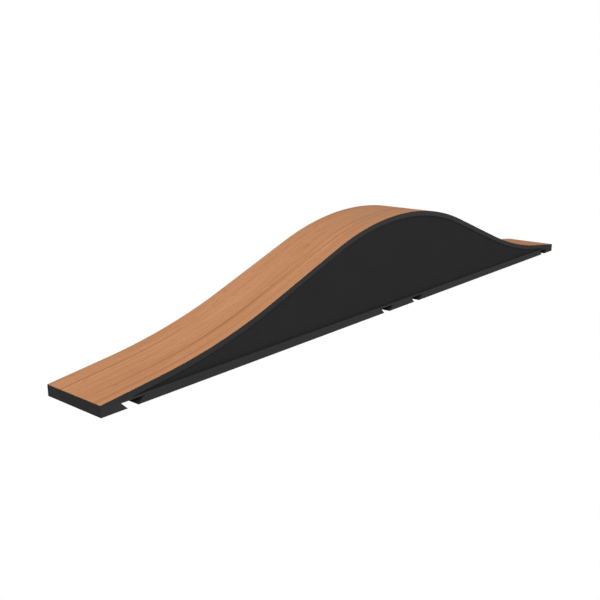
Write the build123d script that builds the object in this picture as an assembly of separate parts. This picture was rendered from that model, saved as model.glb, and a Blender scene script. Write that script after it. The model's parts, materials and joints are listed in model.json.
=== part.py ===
from build123d import *

import os
from math import cos, radians, sin, tan

# A narrow wave-shaped ramp in two halves. Its long curved deck climbs from a thin
# toe at each end to one crest over the middle. The halves meet under the crest,
# where a continuous hinge beneath them lets the ramp fold base to base.
#
# Millimetres. X runs along the ramp, Y across it and Z is up. The origin is on
# the ground, under the crest. Every piece is first made for the left half (x < 0).

# Overall size
LENGTH = 2400.0
WIDTH = 203.0
SEAM_GAP = 0.3

# Deck surface, from the toe to the crest: straight entry, hollow, straight climb, crest
TOE_THICKNESS = 30.0
ENTRY_SLOPE = radians(6.95)
ENTRY_RUN = 169.5
HOLLOW_RADIUS = 1767.0
CLIMB_SLOPE = radians(20.0)
CREST_RADIUS = 1040.0

# Taller than the whole ramp, for cutting upright pieces to their length
CUT_HEIGHT = 400.0

# Boards
LAMINATE = 0.8
DECK_BOARD = 15.0
LAMINATE_BEVEL = 0.3
BASE_BOARD = 24.0
BASE_BEVEL = 1.0
SIDE_PANEL = 12.0
SIDE_RECESS = 4.0
BULKHEAD = 18.0
RIB = 12.0
RIBS_PER_HALF = 4
CLEAT = 14.0
TOE_WEDGE_LENGTH = 300.0

# Dovetail grooves across the base, one near each end of each half
GROOVE_OFFSET = 89.0
GROOVE_MOUTH = 30.0
GROOVE_DEPTH = 18.0
GROOVE_FLANK = radians(45)
GROOVE_OVERCUT = 1.0

# Rubber foot pads. The two halves carry theirs on different lines, so that they
# pass each other when the ramp is folded.
PAD_HEIGHT = 6.0
PAD_WIDTH = 25.0
PAD_LENGTH = 50.0
TOE_PAD_LENGTH = 40.0
PAD_CORNER = 6.0
PAD_BEVEL = 1.0
PAD_LINE = {"left": 66.0, "right": 36.0}
PAD_STATIONS = (150.0, 450.0, 750.0, 1040.0)
TOE_PAD_STATION = 1160.0

# Continuous hinge under the seam
KNUCKLES = 9
KNUCKLE_GAP = 0.3
KNUCKLE_RADIUS = 2.8
HINGE_LENGTH = 144.0
HINGE_DROP = 3.1
PIN_RADIUS = 1.3
PIN_CLEARANCE = 0.05
LEAF_THICKNESS = 1.2
LEAF_WIDTH = 35.0
LEAF_CORNER = 4.0
LEAF_SCREW_STATION = 22.0
LEAF_SCREW_PITCH = 30.0
LEAF_SCREWS = 5

# Screws: shank radius, head radius, head height, length
LEAF_SCREW = (1.6, 3.1, 1.2, 16.0)
BASE_SCREW = (2.0, 4.0, 2.2, 34.0)
SCREW_CLEARANCE = 0.05
SCREW_POINT = 3.0
RECESS_WIDTH = 0.3
RECESS_DEPTH = 0.45
CLEAT_SCREW_STATIONS = (240.0, 400.0, 510.0, 650.0, 840.0)
WEDGE_SCREW_STATION = 960.0
WEDGE_SCREW_LINE = 40.0
BULKHEAD_SCREW_LINE = 77.0

# Tapered dowels in one crest bulkhead, and the bushes they enter in the other
DOWEL_RADIUS = 6.0
DOWEL_TIP_RADIUS = 4.0
DOWEL_REACH = 9.5
DOWEL_DEPTH = 14.0
DOWEL_HEIGHT = 170.0
DOWEL_LINE = 45.0
BUSH_RADIUS = 9.0
BUSH_CLEARANCE = 0.3
SEAT_CLEARANCE = 0.05

# Heights and lengths that follow
SEAM = SEAM_GAP / 2
TOE = LENGTH / 2
BASE_BOTTOM = PAD_HEIGHT
BASE_TOP = BASE_BOTTOM + BASE_BOARD
DECK = LAMINATE + DECK_BOARD
PANEL_OUTER = WIDTH / 2 - SIDE_RECESS
PANEL_INNER = PANEL_OUTER - SIDE_PANEL
CLEAT_LINE = PANEL_INNER - CLEAT / 2
BULKHEAD_INNER = SEAM + BULKHEAD
CLEAT_END = TOE - TOE_WEDGE_LENGTH
HINGE_HEIGHT = BASE_BOTTOM - HINGE_DROP
GROOVE_TOP = GROOVE_MOUTH + 2 * GROOVE_DEPTH * tan(GROOVE_FLANK)


def moved(point, distance, angle):
    """The point reached from another by a distance along a slope."""
    return (point[0] + distance * cos(angle), point[1] + distance * sin(angle))


def entry_height(x, depth):
    """Height of the straight entry, a given depth below the deck surface."""
    rise = (x + TOE) * tan(ENTRY_SLOPE)
    return BASE_BOTTOM + TOE_THICKNESS - depth / cos(ENTRY_SLOPE) + rise


# Where the deck's underside reaches the full thickness of the base board
FEATHER = (BASE_TOP - entry_height(-TOE, DECK)) / tan(ENTRY_SLOPE) - TOE


def deck_points():
    """Tangent points and arc centres of the deck surface, toe to crest."""
    hollow_start = (ENTRY_RUN - TOE, entry_height(ENTRY_RUN - TOE, 0))
    hollow_centre = moved(hollow_start, HOLLOW_RADIUS, ENTRY_SLOPE + radians(90))
    hollow_end = moved(hollow_centre, HOLLOW_RADIUS, CLIMB_SLOPE - radians(90))
    climb_span = -SEAM - CREST_RADIUS * sin(CLIMB_SLOPE) - hollow_end[0]
    crest_start = moved(hollow_end, climb_span / cos(CLIMB_SLOPE), CLIMB_SLOPE)
    crest_centre = moved(crest_start, CREST_RADIUS, CLIMB_SLOPE - radians(90))
    return hollow_start, hollow_centre, hollow_end, crest_start, crest_centre


def contour(depth, start=-TOE):
    """The deck's curve at a depth below its surface, from a place on the entry to the seam."""
    hollow_start, hollow_centre, hollow_end, crest_start, crest_centre = deck_points()
    down_entry = ENTRY_SLOPE - radians(90)
    down_climb = CLIMB_SLOPE - radians(90)
    up_middle = radians(90) + CLIMB_SLOPE / 2
    entry = (start, entry_height(start, depth))
    first = moved(hollow_start, depth, down_entry)
    middle = moved(hollow_centre, HOLLOW_RADIUS + depth, (down_entry + down_climb) / 2)
    second = moved(hollow_end, depth, down_climb)
    third = moved(crest_start, depth, down_climb)
    shoulder = moved(crest_centre, CREST_RADIUS - depth, up_middle)
    crest = moved(crest_centre, CREST_RADIUS - depth, radians(90))
    return [
        Line(entry, first),
        ThreePointArc(first, middle, second),
        Line(second, third),
        ThreePointArc(third, shoulder, crest),
    ]


def across(face, width, line=0.0):
    """A side-view face given a width across the ramp, centred on a line."""
    return Pos(0, line, 0) * extrude(Plane.XZ * face, amount=width / 2, both=True)


def slab(near, far, bottom, top, width, line=0.0):
    """A block between two distances from the seam, on the left half."""
    centre = Pos(-(near + far) / 2, line, (bottom + top) / 2)
    return centre * Box(far - near, width, top - bottom)


def strip(depth, thickness, width, line=0.0):
    """A bent strip that follows the deck at a depth below its surface."""
    upper = contour(depth)
    lower = contour(depth + thickness)
    ends = [
        Line(upper[0] @ 0, lower[0] @ 0),
        Line(upper[-1] @ 1, lower[-1] @ 1),
    ]
    return across(make_face(upper + lower + ends), width, line)


def cavity(width, line=0.0):
    """The hollow between the base board and the underside of the deck."""
    roof = contour(DECK, FEATHER)
    floor = [
        Line(roof[-1] @ 1, (-SEAM, BASE_TOP)),
        Line((-SEAM, BASE_TOP), (FEATHER, BASE_TOP)),
    ]
    return across(make_face(roof + floor), width, line)


def copies(piece, places):
    """Equal pieces at several places, kept as separate solids."""
    return [Pos(*place) * piece for place in places]


def both_lines(stations, line, height):
    """Places at each station, on both sides of the ramp's middle."""
    return [(-station, side * line, height) for station in stations for side in (-1, 1)]


def deck_laminate():
    """The thin wood-faced skin, with its long upper edges broken."""
    skin = strip(0, LAMINATE, WIDTH)
    rims = []
    for run in contour(0):
        middle = run @ 0.5
        for side in (-1, 1):
            place = Vector(middle.X, side * WIDTH / 2, middle.Y)
            rims.append(min(skin.edges(), key=lambda edge: (edge @ 0.5 - place).length))
    return chamfer(rims, LAMINATE_BEVEL)


def dovetail_groove(station):
    """The space that a dovetail key slides through, right across the base."""
    mouth = GROOVE_MOUTH / 2 - GROOVE_OVERCUT * tan(GROOVE_FLANK)
    outline = Polyline(
        (-station - mouth, BASE_BOTTOM - GROOVE_OVERCUT),
        (-station - GROOVE_TOP / 2, BASE_BOTTOM + GROOVE_DEPTH),
        (-station + GROOVE_TOP / 2, BASE_BOTTOM + GROOVE_DEPTH),
        (-station + mouth, BASE_BOTTOM - GROOVE_OVERCUT),
        close=True,
    )
    return across(make_face(outline), WIDTH * 2)


def screw(size):
    """A countersunk wood screw, head down at the origin, with a cross recess."""
    shank, head, head_height, length = size
    outline = Polyline(
        (0, 0),
        (head, 0),
        (shank, head_height),
        (shank, length - SCREW_POINT),
        (0, length),
        close=True,
    )
    body = revolve(Plane.XZ * make_face(outline), Axis.Z)
    arm = Box(head, RECESS_WIDTH * head, RECESS_DEPTH * head_height * 2)
    return body - arm - Rot(0, 0, 90) * arm


def screw_hole(size, length):
    """A clearance hole with the same countersink as a screw."""
    shank, head, head_height, _ = size
    sink = Pos(0, 0, head_height / 2) * Cone(
        head + SCREW_CLEARANCE, shank + SCREW_CLEARANCE, head_height
    )
    bore = Pos(0, 0, length / 2) * Cylinder(shank + SCREW_CLEARANCE, length)
    return sink + bore


def base_screw_places():
    """Where screws come up through the base into cleats, toe wedge and bulkhead."""
    into_cleats = both_lines(CLEAT_SCREW_STATIONS, CLEAT_LINE, BASE_BOTTOM)
    into_wedge = both_lines((WEDGE_SCREW_STATION,), WEDGE_SCREW_LINE, BASE_BOTTOM)
    into_bulkhead = both_lines(((SEAM + BULKHEAD_INNER) / 2,), BULKHEAD_SCREW_LINE, BASE_BOTTOM)
    return into_cleats + into_wedge + into_bulkhead


def base_screw_holes():
    """Every base screw's hole, as one cutter."""
    return copies(screw_hole(BASE_SCREW, BASE_SCREW[3]), base_screw_places())


def leaf_screw_places():
    """Where the hinge leaf is screwed to the base."""
    first = -LEAF_SCREW_PITCH * (LEAF_SCREWS - 1) / 2
    lines = [first + i * LEAF_SCREW_PITCH for i in range(LEAF_SCREWS)]
    return [(-LEAF_SCREW_STATION, line, BASE_BOTTOM - LEAF_THICKNESS) for line in lines]


def base_board():
    """The flat base, thinned under the toe and crossed by two dovetail grooves."""
    outline = Polyline(
        (-SEAM, BASE_BOTTOM),
        (-SEAM, BASE_TOP),
        (FEATHER, BASE_TOP),
        (-TOE, entry_height(-TOE, DECK)),
        (-TOE, BASE_BOTTOM),
        close=True,
    )
    board = across(make_face(outline), WIDTH)
    bottom = board.faces().sort_by(Axis.Z)[0].edges()
    board = chamfer(bottom.sort_by(Axis.X)[:-1], BASE_BEVEL)
    for station in (GROOVE_OFFSET, TOE - GROOVE_OFFSET):
        board -= dovetail_groove(station)
    leaf_holes = copies(screw_hole(LEAF_SCREW, LEAF_SCREW[3]), leaf_screw_places())
    return board - base_screw_holes() - leaf_holes


def side_panel(side):
    """The tall panel that closes one side, set back from the deck and base edges."""
    return cavity(SIDE_PANEL, side * (PANEL_OUTER + PANEL_INNER) / 2)


def toe_wedge():
    """The solid wedge that backs the deck between its toe and the first cleats."""
    span = slab(CLEAT_END, TOE, 0, CUT_HEIGHT, 2 * PANEL_INNER)
    return (cavity(2 * PANEL_INNER) & span) - base_screw_holes()


def deck_cleat(side):
    """The bent cleat that joins the deck to one side panel."""
    span = slab(BULKHEAD_INNER, CLEAT_END, 0, CUT_HEIGHT, WIDTH)
    return strip(DECK, CLEAT, CLEAT, side * CLEAT_LINE) & span


def base_cleat(side):
    """The straight cleat that joins the base to one side panel."""
    line = side * CLEAT_LINE
    cleat = slab(BULKHEAD_INNER, CLEAT_END, BASE_TOP, BASE_TOP + CLEAT, CLEAT, line)
    return cleat - base_screw_holes()


def rib(number):
    """A cross rib, notched at its corners for the cleats."""
    pitch = (CLEAT_END - BULKHEAD_INNER) / (RIBS_PER_HALF + 1)
    station = CLEAT_END - number * pitch
    span = slab(station - RIB / 2, station + RIB / 2, 0, CUT_HEIGHT, 2 * PANEL_INNER)
    plate = cavity(2 * PANEL_INNER) & span
    for side in (-1, 1):
        plate = plate - deck_cleat(side) - base_cleat(side)
    return plate


def bulkhead(seat_radius):
    """The thick cross wall that closes a half at the seam, with two blind seats."""
    wall = cavity(2 * PANEL_INNER) & slab(SEAM, BULKHEAD_INNER, 0, CUT_HEIGHT, 2 * PANEL_INNER)
    seat = Rot(0, 90, 0) * Cylinder(seat_radius + SEAT_CLEARANCE, 2 * DOWEL_DEPTH)
    seats = copies(seat, both_lines((SEAM,), DOWEL_LINE, DOWEL_HEIGHT))
    return wall - seats - base_screw_holes()


def foot_pads(line):
    """Rubber pads along a half, with softened corners and lower edges."""
    def pad(length):
        shape = extrude(RectangleRounded(length, PAD_WIDTH, PAD_CORNER), amount=PAD_HEIGHT)
        return chamfer(shape.faces().sort_by(Axis.Z)[0].edges(), PAD_BEVEL)

    main_pads = copies(pad(PAD_LENGTH), both_lines(PAD_STATIONS, line, 0))
    return main_pads + copies(pad(TOE_PAD_LENGTH), both_lines((TOE_PAD_STATION,), line, 0))


def hinge_leaf(first_knuckle, bore_radius):
    """One leaf of the hinge, with every second knuckle rolled around the pin."""
    plate_top = BASE_BOTTOM
    plate_bottom = BASE_BOTTOM - LEAF_THICKNESS
    plate = slab(HINGE_DROP, LEAF_WIDTH, plate_bottom, plate_top, HINGE_LENGTH)
    outer = plate.edges().filter_by(Axis.Z).sort_by(Axis.X)[:2]
    leaf = fillet(outer, LEAF_CORNER)
    pitch = HINGE_LENGTH / KNUCKLES
    for index in range(first_knuckle, KNUCKLES, 2):
        line = (index + 0.5) * pitch - HINGE_LENGTH / 2
        width = pitch - KNUCKLE_GAP
        barrel = Pos(0, line, HINGE_HEIGHT) * Rot(90, 0, 0) * Cylinder(KNUCKLE_RADIUS, width)
        tab = slab(0, HINGE_DROP, plate_bottom, plate_top, width, line)
        leaf = leaf + barrel + tab
    leaf -= Pos(0, 0, HINGE_HEIGHT) * Rot(90, 0, 0) * Cylinder(bore_radius, HINGE_LENGTH)
    return leaf - copies(screw_hole(LEAF_SCREW, LEAF_THICKNESS), leaf_screw_places())


def hinge_pin():
    """The steel pin that runs through every knuckle."""
    return Pos(0, 0, HINGE_HEIGHT) * Rot(90, 0, 0) * Cylinder(PIN_RADIUS, HINGE_LENGTH)


def locating_dowels():
    """Tapered dowels that stand out of the left half at the seam."""
    outline = Polyline(
        (-SEAM - DOWEL_DEPTH, 0),
        (-SEAM - DOWEL_DEPTH, DOWEL_RADIUS),
        (-SEAM, DOWEL_RADIUS),
        (DOWEL_REACH, DOWEL_TIP_RADIUS),
        (DOWEL_REACH, 0),
        close=True,
    )
    dowel = revolve(make_face(outline), Axis.X)
    return copies(dowel, both_lines((0,), DOWEL_LINE, DOWEL_HEIGHT))


def dowel_bushes():
    """Sleeves in the right half, made here on the left and mirrored with it."""
    length = DOWEL_DEPTH
    sleeve = Cylinder(BUSH_RADIUS, length) - Cylinder(DOWEL_RADIUS + BUSH_CLEARANCE, length)
    centre = SEAM + length / 2
    return copies(Rot(0, 90, 0) * sleeve, both_lines((centre,), DOWEL_LINE, DOWEL_HEIGHT))


def half(name):
    """All nodes of one half, built on the left and named for the side they end on."""
    is_left = name == "left"
    nodes = {
        "deck_laminate": deck_laminate(),
        "deck_board": strip(LAMINATE, DECK_BOARD, WIDTH),
        "base_board": base_board(),
        "side_panel_front": side_panel(-1),
        "side_panel_back": side_panel(1),
        "crest_bulkhead": bulkhead(DOWEL_RADIUS if is_left else BUSH_RADIUS),
        "toe_wedge": toe_wedge(),
        "deck_cleat_front": deck_cleat(-1),
        "deck_cleat_back": deck_cleat(1),
        "base_cleat_front": base_cleat(-1),
        "base_cleat_back": base_cleat(1),
        "base_screws": copies(screw(BASE_SCREW), base_screw_places()),
        "foot_pads": foot_pads(PAD_LINE[name]),
        "hinge_screws": copies(screw(LEAF_SCREW), leaf_screw_places()),
    }
    first_knuckle = 0 if is_left else 1
    bore_radius = PIN_RADIUS if is_left else PIN_RADIUS + PIN_CLEARANCE
    nodes["hinge_leaf"] = hinge_leaf(first_knuckle, bore_radius)
    for number in range(1, RIBS_PER_HALF + 1):
        nodes[f"rib_{number}"] = rib(number)
    return {f"{node}_{name}": solids_of(piece, not is_left) for node, piece in nodes.items()}


def solids_of(piece, mirrored):
    """A node's separate solids, carried to the right half if asked."""
    pieces = piece if isinstance(piece, list) else [piece]
    solids = [solid for item in pieces for solid in item.solids()]
    if mirrored:
        solids = [solid.mirror(Plane.YZ) for solid in solids]
    return solids


def main():
    os.makedirs("parts", exist_ok=True)
    nodes = {**half("left"), **half("right")}
    nodes["hinge_pin"] = solids_of(hinge_pin(), False)
    nodes["locating_dowels"] = solids_of(locating_dowels(), False)
    nodes["dowel_bushes"] = solids_of(dowel_bushes(), True)
    for name, solids in nodes.items():
        shape = solids[0] if len(solids) == 1 else Compound(solids)
        export_step(shape, f"parts/{name}.step")


main()
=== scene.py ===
import json
from math import radians

import bpy
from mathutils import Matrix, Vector


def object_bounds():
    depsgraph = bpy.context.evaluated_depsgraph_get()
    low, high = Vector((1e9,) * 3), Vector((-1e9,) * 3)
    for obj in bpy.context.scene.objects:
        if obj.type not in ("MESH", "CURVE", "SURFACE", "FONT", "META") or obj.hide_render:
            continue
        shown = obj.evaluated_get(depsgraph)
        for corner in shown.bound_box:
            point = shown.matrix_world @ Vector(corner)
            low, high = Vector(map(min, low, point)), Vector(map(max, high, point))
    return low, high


# The looks of a two-part wave ramp: procedural materials on the fixed CAD nodes, a white
# backdrop, soft studio lights and a low three-quarter camera. Metres throughout.

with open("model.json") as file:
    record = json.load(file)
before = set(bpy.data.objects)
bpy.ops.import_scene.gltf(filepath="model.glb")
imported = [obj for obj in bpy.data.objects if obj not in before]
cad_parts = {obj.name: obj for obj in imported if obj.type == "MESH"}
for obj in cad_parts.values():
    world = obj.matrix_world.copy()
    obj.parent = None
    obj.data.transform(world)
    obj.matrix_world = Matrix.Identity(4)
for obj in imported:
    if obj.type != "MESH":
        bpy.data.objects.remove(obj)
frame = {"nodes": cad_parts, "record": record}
CAD_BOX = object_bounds()
LOW = CAD_BOX[0]

# Camera: where it stands from the near lower corner of the base board, and how it looks
PAD_HEIGHT = 0.006
CAMERA_FROM_CORNER = Vector((-0.9551, -1.3725, 0.7030))
CAMERA_YAW = radians(40.08)
CAMERA_PITCH = radians(15.05)
CAMERA_LENS = 47.78
CAMERA_REACH = 100.0
SENSOR_WIDTH = 36.0

# Floor: it throws light back on the ramp, but the camera sees past it to the backdrop
FLOOR_SIZE = 60.0
FLOOR_DROP = 0.0002
FLOOR_COLOUR = (0.8, 0.8, 0.8)
FLOOR_ROUGHNESS = 0.9

# Light: the sky's levels, then the place, width and power of each lamp
SKY_HORIZON = 0.08
SKY_TOP = 0.75
WHITE = (1.0, 1.0, 1.0)
LAMP_TARGET = Vector((0.0, 0.0, 0.1))
LAMPS = {
    "key": ((-4.0, -3.95, 4.75), 3.3, 375.0),
    "side": ((3.4, -4.2, 0.3), 3.0, 75.0),
    "back": ((-2.0, 4.8, 0.3), 2.0, 90.0),
    "under": ((0.0, -0.6, -3.0), 3.0, 80.0),
}

# Colours, linear RGB
WOOD_LIGHT = (0.536, 0.258, 0.121)
WOOD_MIDDLE = (0.470, 0.213, 0.095)
WOOD_DARK = (0.245, 0.087, 0.026)
BLACK_EDGE = (0.0152, 0.0152, 0.0152)
BLACK_PANEL = (0.0150, 0.0150, 0.0150)
RUBBER = (0.022, 0.022, 0.023)
TIMBER = (0.560, 0.390, 0.220)
PLYWOOD = (0.520, 0.350, 0.200)
ZINC = (0.560, 0.560, 0.580)
STEEL = (0.430, 0.430, 0.440)
BRASS = (0.700, 0.500, 0.230)

# Most of a noise texture's values lie between these two
NOISE_LOW = 0.3
NOISE_HIGH = 0.7

# Layers of grain: scale along the ramp, across it and up, then detail, roughness, distortion
FACE_TONE = ((1.2, 16.0, 1.2), 3.0, 0.5, 0.4)
FACE_BEDS = ((0.5, 9.0, 0.5), 1.0, 0.5, 0.0)
FACE_RINGS = ((0.40, 140.0, 0.40), 1.0, 0.5, 0.45)
FACE_STREAKS = ((6.0, 330.0, 6.0), 4.0, 0.6, 0.1)
FACE_SPECKS = ((70.0, 1100.0, 70.0), 1.0, 0.5, 0.0)
FACE_FLAMES = ((11.0, 55.0, 11.0), 3.0, 0.6, 1.0)
TIMBER_BANDS = ((3.0, 40.0, 40.0), 3.0, 0.55, 0.6)
TIMBER_STREAKS = ((4.8, 280.0, 280.0), 6.0, 0.65, 0.2)
TIMBER_SPECKS = ((27.0, 1040.0, 1040.0), 2.0, 0.5, 0.0)

# How a layer turns into marks: its two stops, each a noise value and the mark's level there
TONE_STOPS = ((0.26, 0.0), (0.74, 1.0))
BED_STOPS = ((0.42, 0.2), (0.56, 1.0))
RING_STOPS = ((0.54, 0.0), (0.67, 1.0))
STREAK_STOPS = ((0.36, 1.0), (0.52, 0.0))
SPECK_STOPS = ((0.60, 0.0), (0.70, 1.0))
FLAME_STOPS = ((0.59, 0.0), (0.69, 1.0))
TIMBER_STREAK_STOPS = ((0.35, 1.0), (0.50, 0.0))
SCUFF_STOPS = ((0.55, 0.0), (0.75, 1.0))

# How dark each kind of mark is
RING_STRENGTH = 0.72
STREAK_STRENGTH = 0.30
SPECK_STRENGTH = 0.60
FLAME_STRENGTH = 0.38
TIMBER_STREAK_STRENGTH = 0.4
TIMBER_SHADE = 0.62

# The wood face: its specular level, and how upright a normal is on it
FACE_SPECULAR = 0.15
FACE_UPRIGHT = 0.85

# Black boards: noise scales, how much paler the mottle and the edges are, the paler edges
# being a painted highlight, and that highlight's width, patch scale and amount
MOTTLE_SCALE = 9.0
PEBBLE_SCALE = 750.0
MOTTLE_PALER = 1.12
BOARD_EDGE_HIGHLIGHT_PALER = 2.2
BOARD_EDGE_HIGHLIGHT_WIDTH = 0.0012
BOARD_EDGE_HIGHLIGHT_PATCHES = 30.0
BOARD_EDGE_HIGHLIGHT = 0.6

# Finishes of black boards: lowest and highest roughness, then the specular level
RIM_FINISH = (0.55, 0.62, 0.21)
BASE_FINISH = (0.55, 0.62, 0.25)
PANEL_FINISH = (0.66, 0.72, 0.05)

# Rubber: noise scales, and how much paler the scuffs are
SKIN_SCALE = 1400.0
SCUFF_SCALE = 70.0
SCUFF_PALER = 2.4

# Metals: blotch scale and shade, how much brighter worn edges are, and the wear's width,
# patch scale and amount
BLOTCH_SCALE = 60.0
BLOTCH_SHADE = 0.72
METAL_WEAR_BRIGHTER = 1.35
METAL_WEAR_WIDTH = 0.0004
METAL_WEAR_PATCHES = 200.0
METAL_WEAR = 0.7

# Machining lines on metals: along the ramp, turned about its length, or none
DRAWN = (300.0, 9000.0, 300.0)
TURNED = (9000.0, 300.0, 300.0)
GRAINY = (2500.0, 2500.0, 2500.0)

# Worn edges on metals and painted highlights along the edges of black boards: rays that
# find each edge, then how its level follows the turn of the normal there and the noise of
# its patches
EDGE_SAMPLES = 6
EDGE_STOPS = ((0.80, 1.0), (0.98, 0.0))
PATCH_STOPS = ((0.42, 0.15), (0.62, 1.0))


class Graph:
    """A small helper that adds and links the nodes of one material."""

    def __init__(self, name):
        self.material = bpy.data.materials.new(name)
        self.material.use_nodes = True
        self.tree = self.material.node_tree
        self.shader = self.tree.nodes["Principled BSDF"]

    def add(self, kind, **settings):
        node = self.tree.nodes.new(kind)
        for key, value in settings.items():
            setattr(node, key, value)
        return node

    def feed(self, socket, value):
        """Sets a socket from another socket, a colour or a number."""
        if isinstance(value, bpy.types.NodeSocket):
            self.tree.links.new(value, socket)
        elif isinstance(value, tuple):
            socket.default_value = (*value, 1.0)
        else:
            socket.default_value = value

    def set(self, name, value):
        """Sets one of the shader's own sockets."""
        self.feed(self.shader.inputs[name], value)

    def place(self):
        """The point on the piece, in metres, fixed to the piece."""
        return self.add("ShaderNodeTexCoord").outputs["Object"]

    def noise(self, vector, scale, detail=4.0, roughness=0.5, distortion=0.0):
        node = self.add("ShaderNodeTexNoise")
        node.inputs["Scale"].default_value = scale
        node.inputs["Detail"].default_value = detail
        node.inputs["Roughness"].default_value = roughness
        node.inputs["Distortion"].default_value = distortion
        self.feed(node.inputs["Vector"], vector)
        return node.outputs["Fac"]

    def layer(self, scale, detail, roughness, distortion=0.0):
        """Noise with its own scale on each axis."""
        mapping = self.add("ShaderNodeMapping")
        mapping.inputs["Scale"].default_value = scale
        self.feed(mapping.inputs["Vector"], self.place())
        return self.noise(mapping.outputs["Vector"], 1.0, detail, roughness, distortion)

    def ramp(self, factor, first, last):
        """A factor turned into a level between two (factor, level) stops."""
        node = self.add("ShaderNodeValToRGB")
        for element, (position, level) in zip(node.color_ramp.elements, (first, last)):
            element.position = position
            element.color = (level, level, level, 1.0)
        self.feed(node.inputs["Fac"], factor)
        return node.outputs["Color"]

    def spread(self, noise, low, high):
        """A level that goes from low to high over a noise's usual range."""
        return self.ramp(noise, (NOISE_LOW, low), (NOISE_HIGH, high))

    def mix(self, factor, first, second):
        """Two colours mixed by a factor."""
        node = self.add("ShaderNodeMix", data_type="RGBA")
        for number, value in ((0, factor), (6, first), (7, second)):
            self.feed(node.inputs[number], value)
        return node.outputs[2]

    def maths(self, operation, *values):
        node = self.add("ShaderNodeMath", operation=operation)
        for socket, value in zip(node.inputs, values):
            self.feed(socket, value)
        return node.outputs[0]

    def upward(self):
        """One where the surface faces up, zero on its sides and bevels."""
        split = self.add("ShaderNodeSeparateXYZ")
        self.feed(split.inputs[0], self.add("ShaderNodeTexCoord").outputs["Normal"])
        return self.maths("GREATER_THAN", split.outputs["Z"], FACE_UPRIGHT)

    def bump(self, height, strength, distance):
        node = self.add("ShaderNodeBump")
        node.inputs["Strength"].default_value = strength
        node.inputs["Distance"].default_value = distance
        self.feed(node.inputs["Height"], height)
        self.set("Normal", node.outputs["Normal"])

    def edge_wear_and_highlight(self, width, patchiness, amount):
        """A level along sharp edges, over about a width, broken up into patches: wear on metals, a
        painted highlight on black boards.
        """
        rounded = self.add("ShaderNodeBevel", samples=EDGE_SAMPLES)
        rounded.inputs["Radius"].default_value = width
        turn = self.add("ShaderNodeVectorMath", operation="DOT_PRODUCT")
        self.feed(turn.inputs[0], rounded.outputs["Normal"])
        self.feed(turn.inputs[1], self.add("ShaderNodeNewGeometry").outputs["Normal"])
        edge = self.ramp(turn.outputs["Value"], *EDGE_STOPS)
        noise = self.noise(self.place(), patchiness, detail=3.0, roughness=0.6)
        wear_and_highlight = self.maths("MULTIPLY", edge, self.ramp(noise, *PATCH_STOPS))
        return self.maths("MULTIPLY", wear_and_highlight, amount)


def times(colour, factor):
    """A colour made darker or paler, up to white."""
    return tuple(min(1.0, factor * value) for value in colour)


def wood_laminate():
    """Warm brown wood face, its fine long rings gathered in beds, and black along its cut edges."""
    graph = Graph("wood_laminate")
    streaks = graph.layer(*FACE_STREAKS)
    beds = graph.ramp(graph.layer(*FACE_BEDS), *BED_STOPS)
    rings = graph.maths("MULTIPLY", graph.ramp(graph.layer(*FACE_RINGS), *RING_STOPS), beds)
    marks = (
        (rings, RING_STRENGTH),
        (graph.ramp(streaks, *STREAK_STOPS), STREAK_STRENGTH),
        (graph.ramp(graph.layer(*FACE_FLAMES), *FLAME_STOPS), FLAME_STRENGTH),
        (graph.ramp(graph.layer(*FACE_SPECKS), *SPECK_STOPS), SPECK_STRENGTH),
    )
    dark = 0.0
    for mark, strength in marks:
        dark = graph.maths("MAXIMUM", dark, graph.maths("MULTIPLY", mark, strength))
    tone = graph.ramp(graph.layer(*FACE_TONE), *TONE_STOPS)
    face = graph.mix(dark, graph.mix(tone, WOOD_MIDDLE, WOOD_LIGHT), WOOD_DARK)
    graph.set("Base Color", graph.mix(graph.upward(), BLACK_EDGE, face))
    graph.set("Roughness", graph.spread(streaks, 0.58, 0.48))
    graph.set("Specular IOR Level", FACE_SPECULAR)
    graph.bump(graph.mix(0.5, streaks, rings), strength=0.12, distance=0.0003)
    return graph.material


def black_board(name, colour, finish):
    """Matt black board: a faint mottle, a fine pebbled coat and slightly paler edges, which are a
    painted highlight.
    """
    graph = Graph(name)
    place = graph.place()
    rough_low, rough_high, specular = finish
    mottle = graph.noise(place, MOTTLE_SCALE, detail=5.0, roughness=0.6)
    base = graph.mix(graph.spread(mottle, 0.0, 1.0), colour, times(colour, MOTTLE_PALER))
    # Painted highlight: the edges are made paler where rounded edges would catch the light
    edge = graph.edge_wear_and_highlight(BOARD_EDGE_HIGHLIGHT_WIDTH, BOARD_EDGE_HIGHLIGHT_PATCHES, BOARD_EDGE_HIGHLIGHT)
    graph.set("Base Color", graph.mix(edge, base, times(colour, BOARD_EDGE_HIGHLIGHT_PALER)))
    graph.set("Roughness", graph.spread(mottle, rough_low, rough_high))
    graph.set("Specular IOR Level", specular)
    graph.bump(graph.noise(place, PEBBLE_SCALE, detail=2.0), strength=0.12, distance=0.0002)
    return graph.material


def inner_wood(name, colour):
    """Unfinished timber or plywood of the hidden frame."""
    graph = Graph(name)
    dark = times(colour, TIMBER_SHADE)
    bands = graph.spread(graph.layer(*TIMBER_BANDS), 0.0, 1.0)
    streaks = graph.layer(*TIMBER_STREAKS)
    marks = graph.maths("MULTIPLY", graph.ramp(streaks, *TIMBER_STREAK_STOPS), TIMBER_STREAK_STRENGTH)
    graph.set("Base Color", graph.mix(marks, graph.mix(bands, dark, colour), dark))
    graph.set("Roughness", graph.spread(graph.layer(*TIMBER_SPECKS), 0.75, 0.60))
    graph.bump(streaks, strength=0.2, distance=0.0004)
    return graph.material


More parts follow.
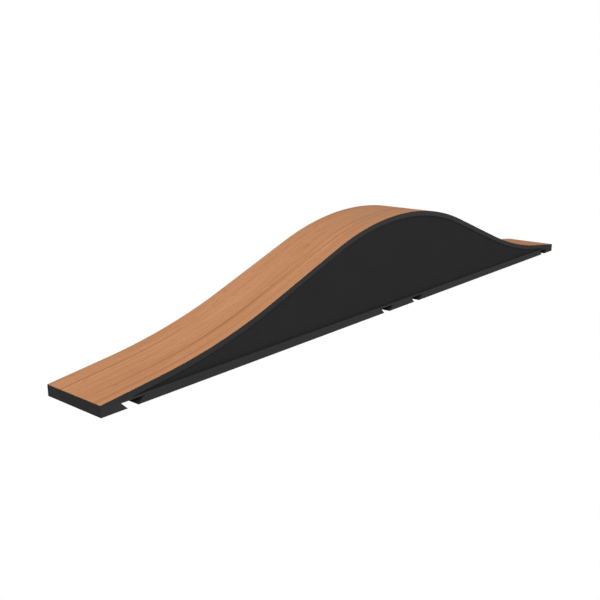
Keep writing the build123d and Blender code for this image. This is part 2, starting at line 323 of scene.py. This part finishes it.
def pad_rubber():
    """Dull black rubber with a fine grained skin and a little grey scuffing."""
    graph = Graph("pad_rubber")
    place = graph.place()
    scuffs = graph.noise(place, SCUFF_SCALE, detail=5.0, roughness=0.7)
    scuffed = graph.ramp(scuffs, *SCUFF_STOPS)
    graph.set("Base Color", graph.mix(scuffed, RUBBER, times(RUBBER, SCUFF_PALER)))
    graph.set("Roughness", graph.spread(scuffs, 0.70, 0.88))
    skin = graph.noise(place, SKIN_SCALE, detail=3.0, roughness=0.6)
    graph.bump(skin, strength=0.25, distance=0.0003)
    return graph.material


def metal(name, colour, line_scale, rough_low, rough_high):
    """Metal with fine drawn or turned lines, faint blotches and brighter worn edges."""
    graph = Graph(name)
    lines = graph.layer(line_scale, detail=3.0, roughness=0.6)
    blotches = graph.noise(graph.place(), BLOTCH_SCALE, detail=4.0, roughness=0.6)
    base = graph.mix(graph.spread(blotches, 0.0, 1.0), times(colour, BLOTCH_SHADE), colour)
    edge = graph.edge_wear_and_highlight(METAL_WEAR_WIDTH, METAL_WEAR_PATCHES, METAL_WEAR)
    graph.set("Base Color", graph.mix(edge, base, times(colour, METAL_WEAR_BRIGHTER)))
    graph.set("Metallic", 1.0)
    graph.set("Roughness", graph.spread(lines, rough_low, rough_high))
    graph.bump(lines, strength=0.08, distance=0.0002)
    return graph.material


def dress():
    """Gives every CAD node the material of its slot in the record."""
    by_slot = {
        "deck_laminate": wood_laminate(),
        "black_board": black_board("black_deck_edge", BLACK_EDGE, RIM_FINISH),
        "black_base": black_board("black_base_board", BLACK_EDGE, BASE_FINISH),
        "black_panel": black_board("black_side_panel", BLACK_PANEL, PANEL_FINISH),
        "black_bulkhead": black_board("black_bulkhead", BLACK_PANEL, PANEL_FINISH),
        "inner_timber": inner_wood("planed_timber", TIMBER),
        "rib_board": inner_wood("plywood", PLYWOOD),
        "pad_rubber": pad_rubber(),
        "hinge_steel": metal("hinge_steel", STEEL, DRAWN, 0.28, 0.42),
        "zinc_screw": metal("zinc_screw", ZINC, GRAINY, 0.30, 0.45),
        "dowel_steel": metal("dowel_steel", STEEL, TURNED, 0.22, 0.34),
        "bush_brass": metal("bush_brass", BRASS, TURNED, 0.24, 0.36),
    }
    for subpart in frame["record"]["subparts"]:
        node = frame["nodes"][subpart["node"]]
        node.data.materials.clear()
        node.data.materials.append(by_slot[subpart["material_slot"]])


def camera():
    """A low three-quarter view from beyond the near toe."""
    data = bpy.data.cameras.new("camera")
    data.lens = CAMERA_LENS
    data.sensor_width = SENSOR_WIDTH
    data.clip_end = CAMERA_REACH
    made = bpy.data.objects.new("camera", data)
    made.location = Vector((LOW.x, LOW.y, LOW.z + PAD_HEIGHT)) + CAMERA_FROM_CORNER
    made.rotation_euler = (radians(90) - CAMERA_PITCH, 0.0, CAMERA_YAW - radians(90))
    bpy.context.scene.collection.objects.link(made)
    bpy.context.scene.camera = made


def lamp(name, place, width, power):
    """A round soft lamp that faces the middle of the ramp."""
    data = bpy.data.lights.new(name, "AREA")
    data.shape = "DISK"
    data.size = width
    data.energy = power
    made = bpy.data.objects.new(name, data)
    made.location = place
    made.rotation_euler = (LAMP_TARGET - Vector(place)).to_track_quat("-Z", "Y").to_euler()
    bpy.context.scene.collection.objects.link(made)


def floor():
    """A pale floor that only sends light back up."""
    graph = Graph("floor_white")
    graph.set("Base Color", FLOOR_COLOUR)
    graph.set("Roughness", FLOOR_ROUGHNESS)
    bpy.ops.mesh.primitive_plane_add(size=FLOOR_SIZE, location=(0.0, 0.0, LOW.z - FLOOR_DROP))
    made = bpy.context.object
    made.name = "floor"
    made.data.materials.append(graph.material)
    made.visible_camera = False
    made.visible_glossy = False
    made.visible_shadow = False


def surround():
    """A white backdrop for the camera, and for all else a soft sky, dim at the horizon."""
    world = bpy.data.worlds.new("studio")
    world.use_nodes = True
    tree = world.node_tree
    add = tree.nodes.new
    split = add("ShaderNodeSeparateXYZ")
    tree.links.new(add("ShaderNodeTexCoord").outputs["Generated"], split.inputs[0])
    ramp = add("ShaderNodeValToRGB")
    for element, level in zip(ramp.color_ramp.elements, (SKY_HORIZON, SKY_TOP)):
        element.color = (level, level, level, 1.0)
    tree.links.new(split.outputs["Z"], ramp.inputs["Fac"])
    sky = tree.nodes["Background"]
    tree.links.new(ramp.outputs["Color"], sky.inputs["Color"])
    white = add("ShaderNodeBackground")
    white.inputs["Color"].default_value = (*WHITE, 1.0)
    mixed = add("ShaderNodeMixShader")
    tree.links.new(add("ShaderNodeLightPath").outputs["Is Camera Ray"], mixed.inputs["Fac"])
    tree.links.new(sky.outputs["Background"], mixed.inputs[1])
    tree.links.new(white.outputs["Background"], mixed.inputs[2])
    tree.links.new(mixed.outputs["Shader"], tree.nodes["World Output"].inputs["Surface"])
    return world


def studio():
    """The floor, the surround and the lamps, with plain colour handling."""
    floor()
    bpy.context.scene.world = surround()
    for name, settings in LAMPS.items():
        lamp(name, *settings)
    bpy.context.scene.view_settings.view_transform = "Standard"


dress()
camera()
studio()
